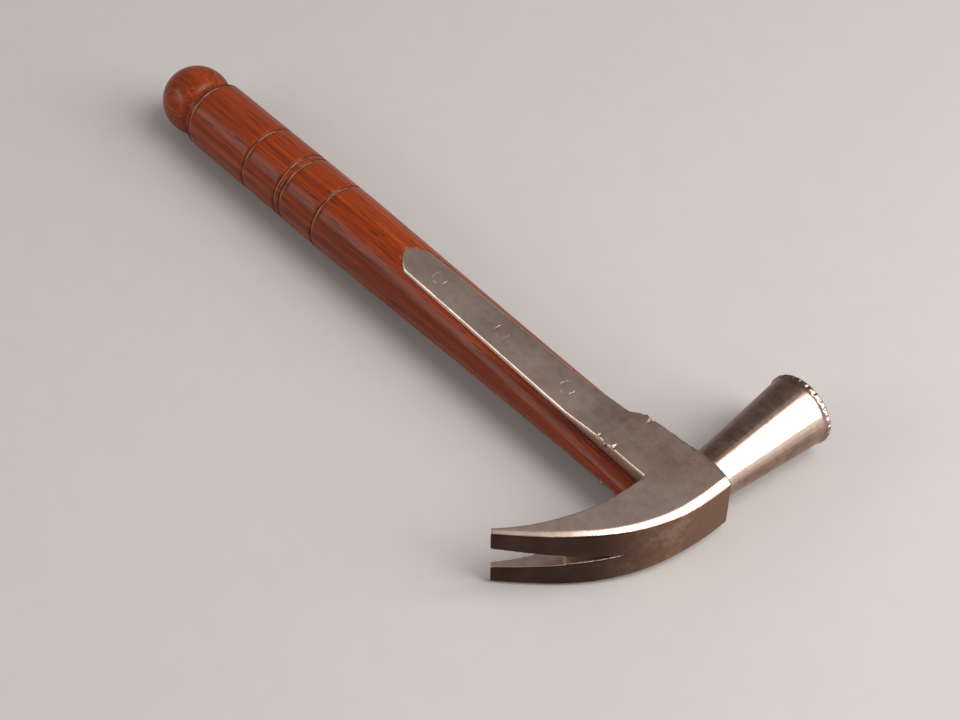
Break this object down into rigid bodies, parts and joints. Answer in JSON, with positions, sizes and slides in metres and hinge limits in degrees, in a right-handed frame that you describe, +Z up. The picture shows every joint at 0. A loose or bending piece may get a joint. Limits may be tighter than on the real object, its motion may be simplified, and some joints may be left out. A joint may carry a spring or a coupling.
{
  "type": "strapped claw hammer",
  "caption": "Small claw hammer: forged steel head with a flared round poll, split claw and two long straps riveted to a turned wooden handle with a ball end.",
  "frame": {"origin": "middle of the plain round grip, on the handle's axis", "axes": "+X along the handle from the butt to the head, +Y out of the striking face, +Z up through the cheeks, so the hammer lies on its side on the XY plane"},
  "size_m": [0.2406, 0.101, 0.0228],
  "materials": {
    "forged_steel": "polished forging with a brown patina, bright along its worn edges",
    "rosewood": "red-brown close-grained hardwood under worn shellac",
    "rivet_steel": "filed flush and polished with the straps"
  },
  "bodies": {
    "root": {"head": "forged_steel", "handle": "rosewood", "rivet_front": "rivet_steel", "rivet_middle": "rivet_steel", "rivet_back": "rivet_steel"}
  },
  "joints": []
}
